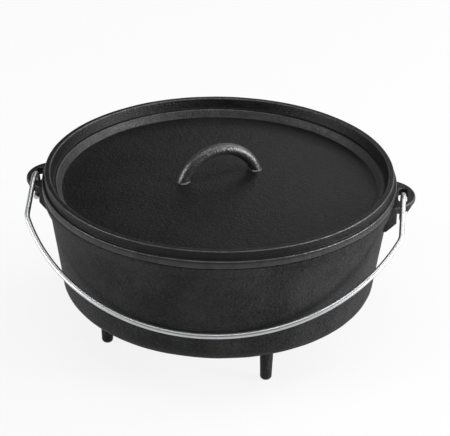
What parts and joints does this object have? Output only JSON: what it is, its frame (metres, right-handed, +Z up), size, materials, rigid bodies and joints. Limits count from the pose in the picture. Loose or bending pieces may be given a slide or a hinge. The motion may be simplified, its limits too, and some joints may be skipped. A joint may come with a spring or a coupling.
{
  "type": "camp dutch oven",
  "caption": "Footed cast iron pot with ears, a flanged lid that holds coals and has a lifting loop, and a swinging wire bail.",
  "frame": {"origin": "on the ground under the centre of the pot, level with the feet", "axes": "+Z up, +X through the two ears, -Y towards the side where the bail hangs"},
  "size_m": [0.371, 0.335, 0.191],
  "materials": {
    "pot_iron": "seasoned black, fine cast texture",
    "lid_iron": "seasoned black, fine cast texture",
    "bail_wire": "bright plated wire"
  },
  "bodies": {
    "pot": {"pot": "pot_iron"},
    "lid": {"lid": "lid_iron"},
    "bail": {"bail_handle": "bail_wire"}
  },
  "joints": [
    {"name": "bail_swing", "type": "hinge", "parent": "pot", "child": "bail", "pos_m": [0, -0.01915, 0.145], "axis": [-1, 0, 0], "range_deg": [0, 175]},
    {"name": "lid_lift", "type": "slide", "parent": "pot", "child": "lid", "axis": [0, 0, 1], "range_m": [0, 0.1]}
  ]
}
